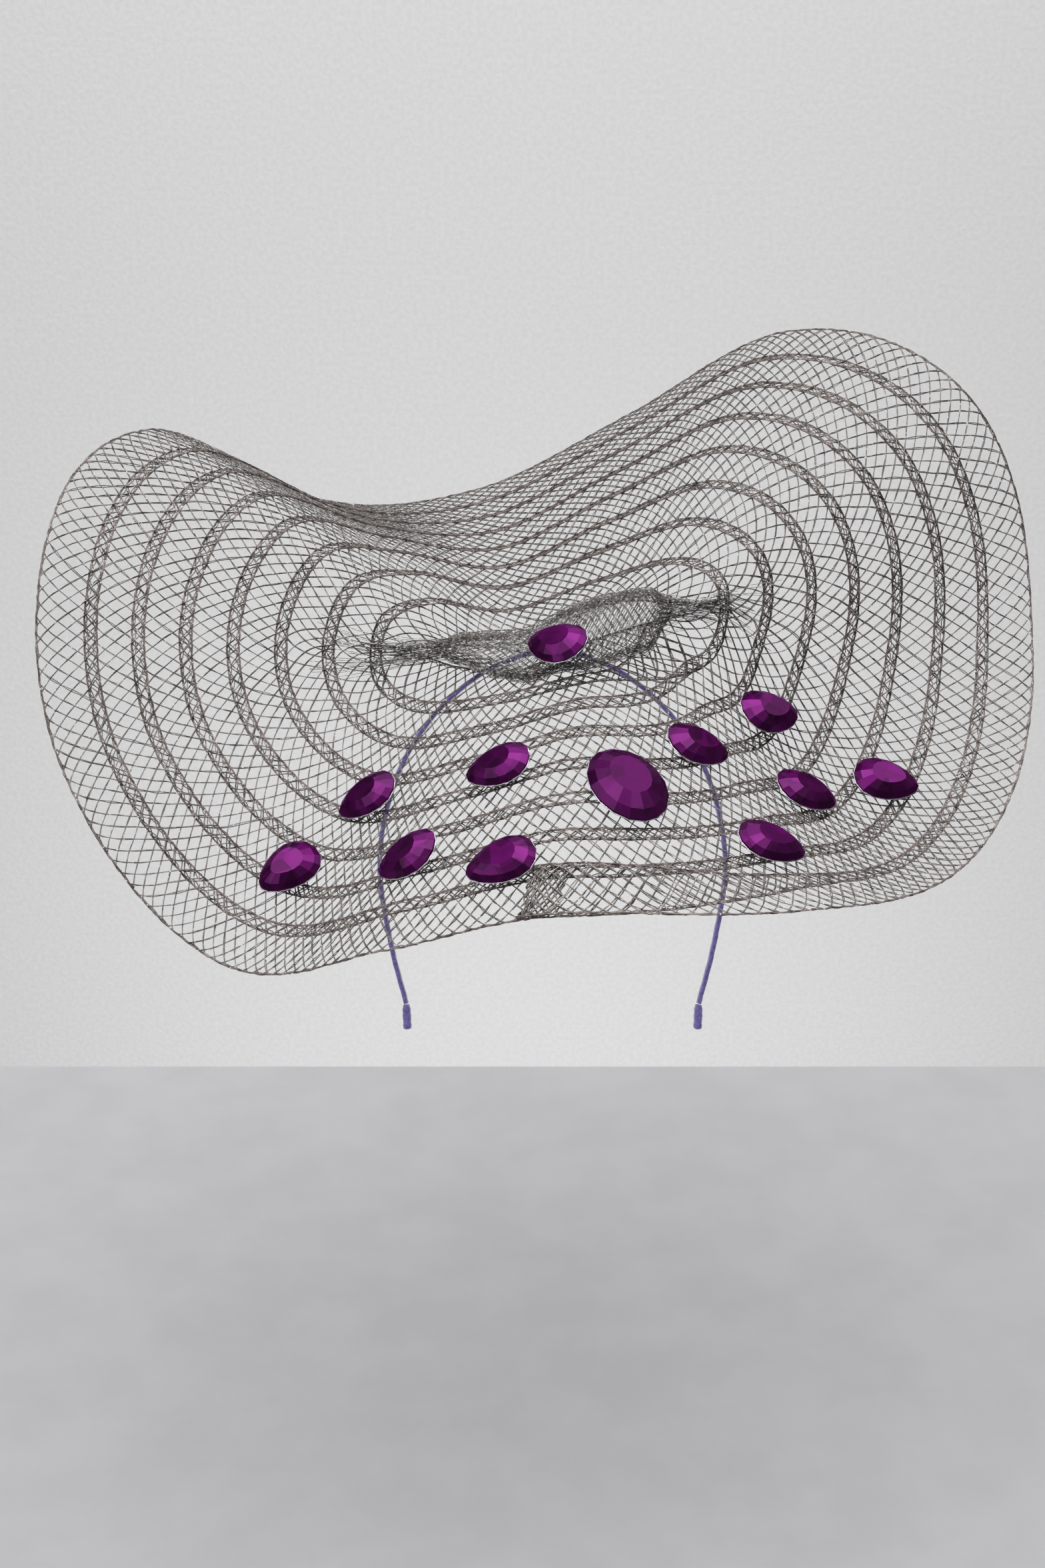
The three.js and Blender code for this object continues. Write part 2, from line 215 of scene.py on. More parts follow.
def lengths_along(points):
    """Length run from the first point up to each point."""
    steps = np.linalg.norm(np.diff(points, axis=0), axis=1)
    return np.concatenate([[0], np.cumsum(steps)])


TURN_SAMPLES = 2880
OUT_SAMPLES = 80


def outward_angle(turn):
    """Direction of the oval's normal: even steps of a turn are even lengths of the half-way ring,
    whose radius of curvature is (a b)^2 / support^3 plus the ring's distance."""
    angle = np.linspace(0, 2 * np.pi, TURN_SAMPLES + 1)
    support = np.hypot(OVAL[0] * np.cos(angle), OVAL[1] * np.sin(angle))
    radius = (OVAL[0] * OVAL[1]) ** 2 / support ** 3 + MID_RING_RADIUS
    share = np.concatenate([[0], np.cumsum(radius[1:] + radius[:-1])])
    return np.interp(turn, share / share[-1], angle)


def brim_grid():
    """Points of the brim over a full turn and out to the rim: from the oval's point with each normal, the
    heading's slope is the parabola through the section's three slopes, and its compass way turns by fan."""
    turn = np.linspace(0, 1, TURN_SAMPLES + 1)
    angle = outward_angle(turn)
    support = np.hypot(OVAL[0] * np.cos(angle), OVAL[1] * np.sin(angle))
    slide = (OVAL[1] ** 2 - OVAL[0] ** 2) * np.sin(angle) * np.cos(angle) / support
    start = np.stack([
        support * np.cos(angle) - slide * np.sin(angle),
        support * np.sin(angle) + slide * np.cos(angle),
        around(BRIM_SECTIONS, "rise", turn) * MM,
    ], -1)
    t = np.linspace(0, 1, OUT_SAMPLES + 1)[:, None]
    oval, mid, rim, fan = (around(BRIM_SECTIONS, c, turn) for c in ("oval", "mid", "rim", "fan"))
    slope = np.radians(2 * (t - 0.5) * (t - 1) * oval + 4 * t * (1 - t) * mid + 2 * t * (t - 0.5) * rim)
    way = angle + np.radians(fan * t)
    heading = np.stack([np.cos(slope) * np.cos(way), np.cos(slope) * np.sin(way), np.sin(slope)], -1)
    steps = (heading[1:] + heading[:-1]) / 2 * (REACH / OUT_SAMPLES)
    return np.concatenate([start[None], start + np.cumsum(steps, 0)])


BRIM_GRID = brim_grid()


def slit_rise(turn):
    """The slit's height: the mean of the oval's rise at a part of a turn and at its mirror image."""
    return (around(BRIM_SECTIONS, "rise", turn) + around(BRIM_SECTIONS, "rise", 1 - turn % 1)) / 2 * MM


def brim_point(turn, out):
    """The brim at a part of a turn and a distance out from the oval, between the grid's points. Inside the
    oval (out below 0) it runs straight to the slit's edge."""
    turn, out = np.broadcast_arrays(turn, out)
    x = (turn % 1) * TURN_SAMPLES
    y = np.clip(out / REACH, 0, 1 - 1e-9) * OUT_SAMPLES
    i, j = np.floor(x).astype(int), np.floor(y).astype(int)
    f, g = (x - i)[..., None], (y - j)[..., None]
    near = BRIM_GRID[j, i] * (1 - f) + BRIM_GRID[j, i + 1] * f
    far = BRIM_GRID[j + 1, i] * (1 - f) + BRIM_GRID[j + 1, i + 1] * f
    start = BRIM_GRID[0, i] * (1 - f) + BRIM_GRID[0, i + 1] * f
    ellipse = np.arctan2(start[..., 1] / OVAL[1], start[..., 0] / OVAL[0])
    edge = np.stack([SLIT[0] * np.cos(ellipse), SLIT[1] * np.sin(ellipse), slit_rise(turn)], -1)
    inside = np.clip(out / INNERMOST, 0, None)[..., None]
    return np.where((out < 0)[..., None], start + (edge - start) * inside, near * (1 - g) + far * g)


def brim_up(turn, out):
    """The brim's normal: outwards crossed with along the turn."""
    outwards = brim_point(turn, out + 0.5 * MM) - brim_point(turn, out - 0.5 * MM)
    along = brim_point(turn + 0.002, out) - brim_point(turn - 0.002, out)
    return unit(np.cross(outwards, along))


def turned(points, angle, axis):
    """Points turned about the X axis (0) or the Z axis (2)."""
    a, b = ((1, 2) if axis == 0 else (0, 1))
    out = np.array(points)
    out[..., a] = points[..., a] * np.cos(angle) - points[..., b] * np.sin(angle)
    out[..., b] = points[..., a] * np.sin(angle) + points[..., b] * np.cos(angle)
    return out


def place_on_band(points):
    """From the brim's own frame to the worn position."""
    return turned(turned(points, BRIM_YAW, 2) + BRIM_CENTRE, BRIM_TILT, 0)


def stepped_in(wound, whole):
    """How far, from 0 to 1, the braid has stepped in to the next turn after a whole number of turns."""
    return smooth((wound - whole - STEP_START + TAIL_END) / (STEP_END - STEP_START))


def pinched(turn, wound, across):
    """The part of a turn with the inner edge drawn in towards each pinch: the way to it, times a bell curve
    of that way, times how near the inner edge is and how far in the turn lies."""
    for place, begin, whole, reach in PINCHES:
        way = (turn - place + 0.5) % 1 - 0.5
        hold = 0.97 * (1 - across) ** 1.2 * smooth((wound - begin) / (whole - begin))
        turn = turn - hold * way * np.exp(-(way / reach) ** 2)
    return turn


def braid_point(wound, across, above):
    """The braid at a number of turns wound in from its tail, a share across from its inner to its outer
    edge, and a height above its middle layer."""
    steps = sum(stepped_in(wound, whole) for whole in range(1, TURNS_IN_ALL))
    out = REACH - steps * TURN_PITCH - BRAID_WIDTH * (1 - across)
    drop = INNERMOST_DROP * smooth((wound - INNERMOST_DROP_FROM) / INNERMOST_DROP_OVER)
    lift = TAIL_LIFT * (1 - stepped_in(wound, 0)) - drop + SHINGLE_RISE * (1 - 2 * across)
    turn = pinched(TAIL_END + wound, wound, across)
    return place_on_band(brim_point(turn, out) + brim_up(turn, out) * (lift + above)[..., None])


def knot_point(x, round_share, lift):
    """The knot's face at x along the slit, from its back edge (0) over its top to its front edge (1): half
    an ellipse whose half width and height run smoothly through the sections, with its front half drawn out
    and down over the apron and its back edge drawn back as a hem to the slit's edge."""
    xs = KNOT_SECTIONS["x"] * MM
    row = np.clip(np.searchsorted(xs, x, side="right") - 1, 0, len(xs) - 2)
    t = smooth((x - xs[row]) / (xs[row + 1] - xs[row]))
    y, half, height, apron = (
        (KNOT_SECTIONS[c][row] * (1 - t) + KNOT_SECTIONS[c][row + 1] * t) * MM
        for c in ("y", "half", "height", "apron"))
    turn = np.arccos(np.clip(x / SLIT[0], -1, 1)) / (2 * np.pi)
    angle = np.pi * round_share
    forward = apron * smooth((round_share - 0.4) / 0.6)
    hem = (1 - smooth(round_share / 0.22)) * smooth((half / MM - 2) / 5)
    base = slit_rise(turn) + KNOT_LIP * (1 - 0.6 * hem) - APRON_SLOPE * forward
    return place_on_band(np.stack(np.broadcast_arrays(
        x, y + (half + lift) * np.cos(angle) - forward + BACK_HEM * hem,
        base + (height * (1 - 0.5 * hem) + lift) * np.sin(angle)), -1))


# ---------------------------------------------------------------- meshes

def new_piece(name, points, faces, material, slot, smooth_faces=True):
    """A mesh object at the origin from arrays of points and of equal-sided faces."""
    mesh = bpy.data.meshes.new(name)
    mesh.from_pydata(np.asarray(points).reshape(-1, 3), [], list(faces))
    mesh.shade_smooth() if smooth_faces else mesh.shade_flat()
    mesh.materials.append(material)
    piece = bpy.data.objects.new(name, mesh)
    bpy.context.scene.collection.objects.link(piece)
    if slot is not None:
        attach(piece, BODY)
    return piece


def tube_mesh(lines, radius, sides):
    """Closed tubes along many lines of equally many points: a regular polygon of the radius, square to
    each line, with a face over each end. lines is (tubes, points, 3)."""
    count, steps = lines.shape[:2]
    tangent = unit(np.gradient(lines, axis=1))
    rough = np.where(np.abs(tangent[..., 2:]) < 0.9, [[[0, 0, 1.0]]], [[[1.0, 0, 0]]])
    side = unit(np.cross(tangent, rough))
    up = np.cross(side, tangent)
    angle = 2 * np.pi * np.arange(sides) / sides
    ring = np.cos(angle)[:, None] * side[..., None, :] + np.sin(angle)[:, None] * up[..., None, :]
    points = lines[:, :, None] + radius * ring
    index = np.arange(count * steps * sides).reshape(count, steps, sides)
    a, b = index[:, :-1], index[:, 1:]
    quads = np.stack([a, np.roll(a, -1, 2), np.roll(b, -1, 2), b], -1).reshape(-1, 4)
    ends = [index[:, 0, ::-1], index[:, -1]]
    return points.reshape(-1, 3), quads, np.concatenate(ends)


def tubes(name, lines, radius, material, sides=3):
    """A piece of closed tubes along many lines, put into its mesh as whole arrays."""
    points, quads, ends = tube_mesh(lines, radius, sides)
    mesh = bpy.data.meshes.new(name)
    mesh.vertices.add(len(points))
    mesh.vertices.foreach_set("co", points.astype(np.float32).ravel())
    corners = np.concatenate([quads.ravel(), ends.ravel()]).astype(np.int32)
    starts = np.concatenate([np.arange(len(quads)) * 4, quads.size + np.arange(len(ends)) * sides])
    mesh.loops.add(len(corners))
    mesh.loops.foreach_set("vertex_index", corners)
    mesh.polygons.add(len(starts))
    mesh.polygons.foreach_set("loop_start", starts.astype(np.int32))
    mesh.update(calc_edges=True)
    mesh.shade_smooth()
    mesh.materials.append(material)
    piece = bpy.data.objects.new(name, mesh)
    bpy.context.scene.collection.objects.link(piece)
    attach(piece, BODY)
    return piece


# ---------------------------------------------------------------- the net

# How far strands stray: where they start, along slow waves and in kinks, as shares of their spacing, and in
# from the edges, as a share of the width. The waves are lengths of braid in metres.
START_STRAY = 0.02
SLOW_STRAY, SLOW_WAVES = 0.05, (0.047, 0.083, 0.19)
KINK_STRAY, KINK_WAVES = 0.035, (0.0049, 0.0063, 0.0091)
EDGE_STRAY, EDGE_WAVES = 0.010, (0.0171, 0.031)
NET_WIDTH = 0.985
WEAVE_RISE = 0.4

# The edge cords, as shares of the width: how far in the first strand lies, the next one from it and how much
# each strays, and how far in the loops begin, how far they swing and how much that changes
CORD_INSET, CORD_STEP, CORD_STRAY, CORD_WAVES = 0.008, 0.009, 0.009, (0.0063, 0.0141, 0.037)
LOOP_INSET, LOOP_SWING, LOOP_STRAY, LOOP_WAVES = 0.014, 0.06, 0.02, (0.0163, 0.027)
RIM_LOOPS = 0.3
CORD_LIFT, CORD_LIFT_WAVES = 0.35 * MM, (0.0063, 0.0087, 0.021)

TAIL_UNDER = 0.9 * MM
TAIL_CROWDING = 1.5
CUT_STRANDS = 7


def drift(rng, along, count, reach, waves):
    """A slow wander for each of count strands: a few sines of the length along, with chance phases."""
    wander = np.zeros((count, len(along)))
    for wave in waves:
        phase = rng.uniform(0, 2 * np.pi, (count, 1))
        wander += np.sin(2 * np.pi * along / wave + phase)
    return wander * (reach / len(waves))


def filaments(place, along, crossings, pull, net, rng, each, rounding=0.42, edge_run=0.04, depth=0.22 * MM):
    """Every strand of a flat tubular braid, as lines of points.

    A strand's winding is its number of crossings of the width plus or minus the length's: whole numbers
    lie on the edges, even spans on the upper layer and odd ones on the lower. Across the width it is a
    triangle wave with its tips cut off, mixed with a cosine, so that strands run along an edge for a while
    and crowd there. Strands of the two slants pass over and under each other in turn, and each wanders and
    kinks a little, so that the layers lie nearly in step."""
    lines, spacing = [], 2 / each
    for slant in (1, -1):
        start = spacing * (np.arange(each) + rng.normal(0, START_STRAY, each))[:, None]
        wander = drift(rng, along, each, SLOW_STRAY * spacing, SLOW_WAVES)
        kinks = drift(rng, along, each, KINK_STRAY * spacing, KINK_WAVES)
        winding = start + wander + kinks + slant * crossings
        cut = np.clip((1 - np.abs(winding % 2 - 1) - edge_run) / (1 - 2 * edge_run), 0, 1)
        across = rounding * (1 - np.cos(np.pi * cut)) / 2 + (1 - rounding) * cut
        across = 0.5 + (across - 0.5) * (NET_WIDTH + drift(rng, along, each, EDGE_STRAY, EDGE_WAVES))
        weave = np.cos(np.pi * (2 * crossings + slant * start) / spacing) * slant
        above = depth * np.sin(np.pi * winding) + WEAVE_RISE * net.strand_diameter * weave
        lines.append(place(pull * (across - 0.5), across, above))
    return np.concatenate(lines)


def edge_cord(place, along, wound, crossings, spacing, edge, rng, straight=3, looping=2):
    """The strands that run along one edge of a braid, 0 the inner and 1 the outer: a few straight ones
    that wander a little make the cord, and two that swing in from it by turns make a chain of loops, one
    loop for each strand that turns at the edge. The loops are narrow along the rim."""
    cord = CORD_INSET + CORD_STEP * np.arange(straight)[:, None]
    cord = cord + drift(rng, along, straight, CORD_STRAY, CORD_WAVES)
    turns = np.pi * crossings / spacing + np.pi * np.arange(looping)[:, None]
    swing = LOOP_SWING * np.where(wound < edge, RIM_LOOPS, 1) + drift(rng, along, looping, LOOP_STRAY, LOOP_WAVES)
    loops = LOOP_INSET + swing * (1 - np.cos(turns)) / 2
    inset = np.concatenate([cord, loops])
    across = np.abs(edge - np.abs(inset))
    above = drift(rng, along, straight + looping, CORD_LIFT, CORD_LIFT_WAVES)
    return place(np.zeros(along.shape), across, above)


def tail_fold(net, crossings, along, wound, rng):
    """The braid's cut end folded back under itself: the net of its first few mm once more, crowded and
    under the first, with strands of the cut drawn across it."""
    part = along < TAIL_FOLD
    wound, along, crossings = wound[part], along[part], crossings[part]

    def place(pulled, across, above):
        return braid_point(wound + 0 * across, 0.02 + 0.96 * across, above - TAIL_UNDER)

    net_lines = filaments(place, along, crossings * TAIL_CROWDING + 0.06, 0 * along, net, rng, net.strands + 6)
    t = np.linspace(0, 1, len(along))
    near = rng.uniform(0, 0.35, (CUT_STRANDS, 1)) * wound[-1]
    near = near + drift(rng, t, CUT_STRANDS, 0.06 * wound[-1], (0.3, 0.7))
    above = drift(rng, t, CUT_STRANDS, 0.5 * MM, (0.2, 0.5))
    cut = braid_point(near + wound[-1] * 0.06, 0.02 + 0.96 * t + 0 * near, above)
    return np.concatenate([net_lines, cut])


def braid_layout(step):
    """Even steps along the whole braid: the turns wound at each, its length, the crossings of the width made
    up to it, and the turns that the outer edge is pulled along there."""
    fine = np.linspace(0, BRAID_START, TURNS_IN_ALL * 1440 + 1)
    middle = braid_point(fine, np.full(fine.shape, 0.5), np.zeros(fine.shape))
    length = lengths_along(middle)
    along = np.linspace(0, length[-1], int(length[-1] / step))
    wound = np.interp(along, length, fine)
    inwards = np.clip(wound / (TURNS_IN_ALL - 1), 0, 1)
    turn = TAIL_END + wound
    gap, pull = (
        (around(MESH_SECTIONS, column + "_rim", turn) * (1 - inwards)
         + around(MESH_SECTIONS, column + "_oval", turn) * inwards) * MM
        for column in ("gap", "pull"))
    return along, wound, gap, pull * np.gradient(wound, along)


class CrinSettings(bpy.types.PropertyGroup):
    strands: IntProperty(
        name="Strands", description="Strands of each slant round the tube", default=8, min=3, max=16)
    strand_diameter: FloatProperty(
        name="Strand", description="Diameter of one strand", default=0.45 * MM, unit="LENGTH", precision=5)
    step: FloatProperty(
        name="Step", description="Length of braid between points", default=1.4 * MM, unit="LENGTH", precision=5)
    dark: FloatVectorProperty(
        name="Dark", description="Colour of the filaments' dull stretches", subtype="COLOR",
        size=4, min=0, max=1, default=(0.075, 0.062, 0.056, 1))
    bright: FloatVectorProperty(
        name="Bright", description="Colour of the filaments' bright stretches", subtype="COLOR",
        size=4, min=0, max=1, default=(0.31, 0.282, 0.258, 1))


class BandSettings(bpy.types.PropertyGroup):
    ribbon: FloatVectorProperty(
        name="Ribbon", description="Colour of the satin ribbon", subtype="COLOR",
        size=4, min=0, max=1, default=(0.20, 0.155, 0.45, 1))
    wrap: FloatProperty(
        name="Wrap", description="Length of band that one wrap of the ribbon covers",
        default=9 * MM, unit="LENGTH", precision=4)


class StoneSettings(bpy.types.PropertyGroup):
    # Both colours are painted light and shade: random cells of them stand in for facets that catch the light or
    # lie in shade
    light: FloatVectorProperty(
        name="Lit facets", description="Colour of the facets that catch the light", subtype="COLOR",
        size=4, min=0, max=1, default=(0.088, 0.005, 0.083, 1))
    shaded: FloatVectorProperty(
        name="Deep facets", description="Colour of the deep facets", subtype="COLOR",
        size=4, min=0, max=1, default=(0.043, 0.004, 0.040, 1))


class StageSettings(bpy.types.PropertyGroup):
    table_level: FloatProperty(
        name="Table level", description="Height of the table's top", default=-0.315, unit="LENGTH")
    table_back: FloatProperty(
        name="Table's back edge", description="Where the table ends behind", default=0.199, unit="LENGTH")
    wall: FloatVectorProperty(
        name="Wall", description="Colour of the wall", subtype="COLOR",
        size=4, min=0, max=1, default=(0.78, 0.78, 0.775, 1))
    table: FloatVectorProperty(
        name="Table", description="Colour of the table", subtype="COLOR",
        size=4, min=0, max=1, default=(0.36, 0.36, 0.372, 1))


# ---------------------------------------------------------------- materials

def new_material(name):
    """A material with its nodes cleared down to one shader, and helpers to add and join nodes."""
    material = bpy.data.materials.new(name)
    material.use_nodes = True
    nodes, links = material.node_tree.nodes, material.node_tree.links
    shader = nodes["Principled BSDF"]

    def add(kind, **values):
        node = nodes.new(kind)
        for key, value in values.items():
            if key in node.inputs:
                node.inputs[key].default_value = value
            else:
                setattr(node, key, value)
        return node

    return material, shader, add, links.new


def ramp(add, stops):
    """A colour ramp from (place, colour) stops."""
    node = add("ShaderNodeValToRGB")
    while len(node.color_ramp.elements) < len(stops):
        node.color_ramp.elements.new(0.5)
    for element, (place, colour) in zip(node.color_ramp.elements, stops):
        element.position, element.color = place, colour
    return node


def grey(value):
    return (value, value, value, 1)


def filament_material(name, dark, bright, metallic, painted_glint_start):
    """Drawn metallic filament: dull and bright stretches a few mm long, with short painted glints, white specks
    mixed into its colour where a fine noise passes the given threshold.
    """
    material, shader, add, join = new_material(name)
    place = add("ShaderNodeTexCoord")
    stretch = add("ShaderNodeTexNoise", Scale=260.0, Detail=3.0, Roughness=0.7)
    tone = ramp(add, [(0.35, dark), (0.62, bright)])
    join(place.outputs["Object"], stretch.inputs["Vector"])
    join(stretch.outputs["Fac"], tone.inputs["Fac"])
    # Painted glints: where the fine noise passes the threshold, white is mixed into the base colour
    painted_glint_noise = add("ShaderNodeTexNoise", Scale=900.0, Detail=1.0)
    painted_glint = ramp(add, [(painted_glint_start, grey(0)), (painted_glint_start + 0.09, grey(0.8))])
    join(place.outputs["Object"], painted_glint_noise.inputs["Vector"])
    join(painted_glint_noise.outputs["Fac"], painted_glint.inputs["Fac"])
    mix = add("ShaderNodeMix", data_type="RGBA")
    join(painted_glint.outputs["Color"], mix.inputs[0])
    join(tone.outputs["Color"], mix.inputs[6])
    mix.inputs[7].default_value = (0.95, 0.95, 0.95, 1)
    join(mix.outputs[2], shader.inputs["Base Color"])
    rough = add("ShaderNodeMapRange")
    rough.inputs["To Min"].default_value = 0.42
    rough.inputs["To Max"].default_value = 0.18
    join(stretch.outputs["Fac"], rough.inputs["Value"])
    join(rough.outputs["Result"], shader.inputs["Roughness"])
    shader.inputs["Metallic"].default_value = metallic
    return material


def stone_material(name, settings, painted_dimming=1.0):
    """Foiled acrylic behind a polished face, with painted facet light and shade: random cells of lit and shaded
    colour. The last argument is the part of the lit cells' colour that is left, a painted shade over the whole
    stone."""
    material, shader, add, join = new_material(name)
    place = add("ShaderNodeTexCoord")
    # Painted facet light and shade: Voronoi cells pick between the shaded and the lit colour
    cells = add("ShaderNodeTexVoronoi", Scale=190.0)
    light = tuple(c * painted_dimming for c in settings.light[:3]) + (1,)
    tone = ramp(add, [(0.2, tuple(settings.shaded)), (0.6, light)])
    join(place.outputs["Object"], cells.inputs["Vector"])
    join(cells.outputs["Color"], tone.inputs["Fac"])
    join(tone.outputs["Color"], shader.inputs["Base Color"])
    rough = add("ShaderNodeMapRange")
    rough.inputs["To Min"].default_value = 0.20
    rough.inputs["To Max"].default_value = 0.34
    join(cells.outputs["Distance"], rough.inputs["Value"])
    join(rough.outputs["Result"], shader.inputs["Roughness"])
    shader.inputs["Metallic"].default_value = 0.92
    shader.inputs["Specular Tint"].default_value = (0.75, 0.04, 0.75, 1)
    shader.inputs["Coat Weight"].default_value = 0.12
    shader.inputs["Coat Roughness"].default_value = 0.04
    return material


def foil_material():
    """Silver foil, a little crinkled."""
    material, shader, add, join = new_material("silver_foil")
    place = add("ShaderNodeTexCoord")
    crinkle = add("ShaderNodeTexNoise", Scale=1100.0, Detail=2.0)
    tone = ramp(add, [(0.35, grey(0.35)), (0.6, grey(0.85))])
    join(place.outputs["Object"], crinkle.inputs["Vector"])
    join(crinkle.outputs["Fac"], tone.inputs["Fac"])
    join(tone.outputs["Color"], shader.inputs["Base Color"])
    shader.inputs["Metallic"].default_value = 0.9
    shader.inputs["Roughness"].default_value = 0.28
    return material


def ribbon_material(name, colour):
    """Satin: fine ribs along the ribbon with a soft sheen."""
    material, shader, add, join = new_material(name)
    place = add("ShaderNodeTexCoord")
    threads = add("ShaderNodeTexNoise", Scale=900.0, Detail=2.0)
    dark = tuple(c * 0.7 for c in colour[:3]) + (1,)
    light = tuple(min(1, c * 1.35) for c in colour[:3]) + (1,)
    tone = ramp(add, [(0.35, dark), (0.65, light)])
    join(place.outputs["Object"], threads.inputs["Vector"])
    join(threads.outputs["Fac"], tone.inputs["Fac"])
    join(tone.outputs["Color"], shader.inputs["Base Color"])
    bump = add("ShaderNodeBump", Strength=0.25, Distance=0.0002)
    join(threads.outputs["Fac"], bump.inputs["Height"])
    join(bump.outputs["Normal"], shader.inputs["Normal"])
    shader.inputs["Roughness"].default_value = 0.38
    shader.inputs["Sheen Weight"].default_value = 0.4
    return material


def plaster_material(name, colour, scale, strength):
    """Matt paint or plaster: a fine grain in tone and height."""
    material, shader, add, join = new_material(name)
    place = add("ShaderNodeTexCoord")
    grain = add("ShaderNodeTexNoise", Scale=scale, Detail=5.0)
    low = tuple(c * 0.97 for c in colour[:3]) + (1,)
    high = tuple(min(1, c * 1.03) for c in colour[:3]) + (1,)
    tone = ramp(add, [(0.35, low), (0.65, high)])
    join(place.outputs["Object"], grain.inputs["Vector"])
    join(grain.outputs["Fac"], tone.inputs["Fac"])
    join(tone.outputs["Color"], shader.inputs["Base Color"])
    bump = add("ShaderNodeBump", Strength=strength, Distance=0.002)
    join(grain.outputs["Fac"], bump.inputs["Height"])
    join(bump.outputs["Normal"], shader.inputs["Normal"])
    shader.inputs["Roughness"].default_value = 0.75
    return material


# ---------------------------------------------------------------- operators

EDGE_TINT = (0.92, 0.82, 0.86, 1)


class FASCINATOR_OT_braid(bpy.types.Operator):
    """Wind the net of the braid, one piece for each turn"""
    bl_idname = "fascinator.braid"
    bl_label = "Wind the braid"

    def execute(self, context):
        net = context.scene.fascinator_crin
        rng = np.random.default_rng(11)
        along, wound, gap, pull = braid_layout(net.step)
        crossings = np.cumsum(np.gradient(along) * 2 / (net.strands * gap))

        def place(pulled, across, above):
            return braid_point(np.clip(wound + pulled, 0, BRAID_START), across, above)

        lines = filaments(place, along, crossings, pull, net, rng, net.strands)
        # 0.64 is where the painted glints begin in the fine noise
        material = filament_material("metallic_filament", tuple(net.dark), tuple(net.bright), 0.35, 0.64)
        for turn in range(TURNS_IN_ALL):
            ends_at = turn + 1 if turn < TURNS_IN_ALL - 1 else BRAID_START + 1
            first, last = np.searchsorted(wound, [turn, ends_at])
            part = lines[:, max(first - 1, 0):last]
            piece = tubes(f"crin_turn_{turn + 1}", part, net.strand_diameter / 2, material)
            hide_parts("crin_spiral")
        lines = tail_fold(net, crossings, along, wound, rng)
        piece = tubes("crin_tail_fold", lines, net.strand_diameter / 2, material)
        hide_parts("crin_spiral")
        dark, bright = (np.array(colour) * EDGE_TINT for colour in (net.dark, net.bright))
        # 0.66 is where the painted glints begin in the fine noise
        material = filament_material("edge_filament", tuple(dark), tuple(bright), 0.35, 0.66)
        for edge, name in enumerate(("inner_edge_cord", "outer_edge_cord")):
            lines = edge_cord(place, along, wound, crossings, 2 / net.strands, edge, rng)
            piece = tubes(name, lines, net.strand_diameter / 2, material)
            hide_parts("crin_spiral")
        return {"FINISHED"}


# The folds' rolled edges along the knot: where each starts and ends along it, as shares, how far round the
# knot it lies at its start and end, and its radius in mm
KNOT_ROLLS = np.array([
    (0.02, 0.99, 0.93, 0.99, 1.6),
    (0.25, 0.97, 0.88, 0.97, 1.3),
    (0.05, 0.60, 0.70, 0.90, 1.2),
    (0.02, 0.52, 0.36, 0.44, 1.4),
    (0.10, 0.50, 0.56, 0.60, 1.0),
    (0.46, 0.99, 0.28, 0.40, 1.1),
], dtype=[("start", float), ("end", float), ("round_start", float), ("round_end", float), ("radius", float)])


def gathered_sheet(left, right, net, rng, layer):
    """One sheet of the gathered braid over the knot: fine strands of both slants that cross its width ever
    more steeply towards the right tip, over ridges that run along the knot."""
    along = np.linspace(0, right - left, 130)
    stretch = 74 * MM - 40 * MM * smooth(along / (0.7 * (right - left)))
    crossings = np.cumsum(np.gradient(along) / stretch) + 0.37 * layer

    def place(pulled, across, above):
        x = left + np.clip(along + pulled, 0, right - left)
        ridge = np.cos(2 * np.pi * (3 * across + x / (150 * MM)) + 1.9 * layer)
        return knot_point(x, across, (0.8 * ridge - 1.0 * layer) * MM + above)

    still = np.zeros(along.shape)
    return filaments(place, along, crossings, still, net, rng, 26, 0.5, 0.02, 0.3 * MM)


# Where the strands that are drawn into the knot's ends lie: where along the knot they leave it, in mm, the
# part of a turn they point to, half their spread as a part of a turn, and how far out they reach in mm
DRAWN_ENDS = (
    (-38, 0.5, 0.045, 4),
    (-42, 0.506, 0.036, 30),
    (42, 0.0, 0.040, 6),
    (45, 0.012, 0.030, 30),
)


def drawn_strands(rng, leave, heading, spread, reach, count=46):
    """Strands drawn into an end of the knot: each goes smoothly from the knot's face to its own place on the
    braid's innermost turn, in a fan that is chance-spaced, and lies just over the net there."""
    t = np.linspace(0, 1, 30)
    share = rng.uniform(0.12, 0.95, (count, 1))
    turn = heading + spread * (1 - 2 * share) * (1 if heading == 0 else -1) + rng.normal(0, 0.006, (count, 1))
    out = INNERMOST + (reach * MM - INNERMOST) * rng.uniform(0.45, 1, (count, 1)) * t
    face = knot_point(np.full((count, 1), leave * MM) + 0 * t, share + 0 * t, 0.3 * MM)
    net = place_on_band(brim_point(turn + 0 * t, out) + brim_up(turn + 0 * t, out) * 0.9 * MM)
    blend = smooth(t / 0.75)[:, None]
    return face * (1 - blend) + net * blend


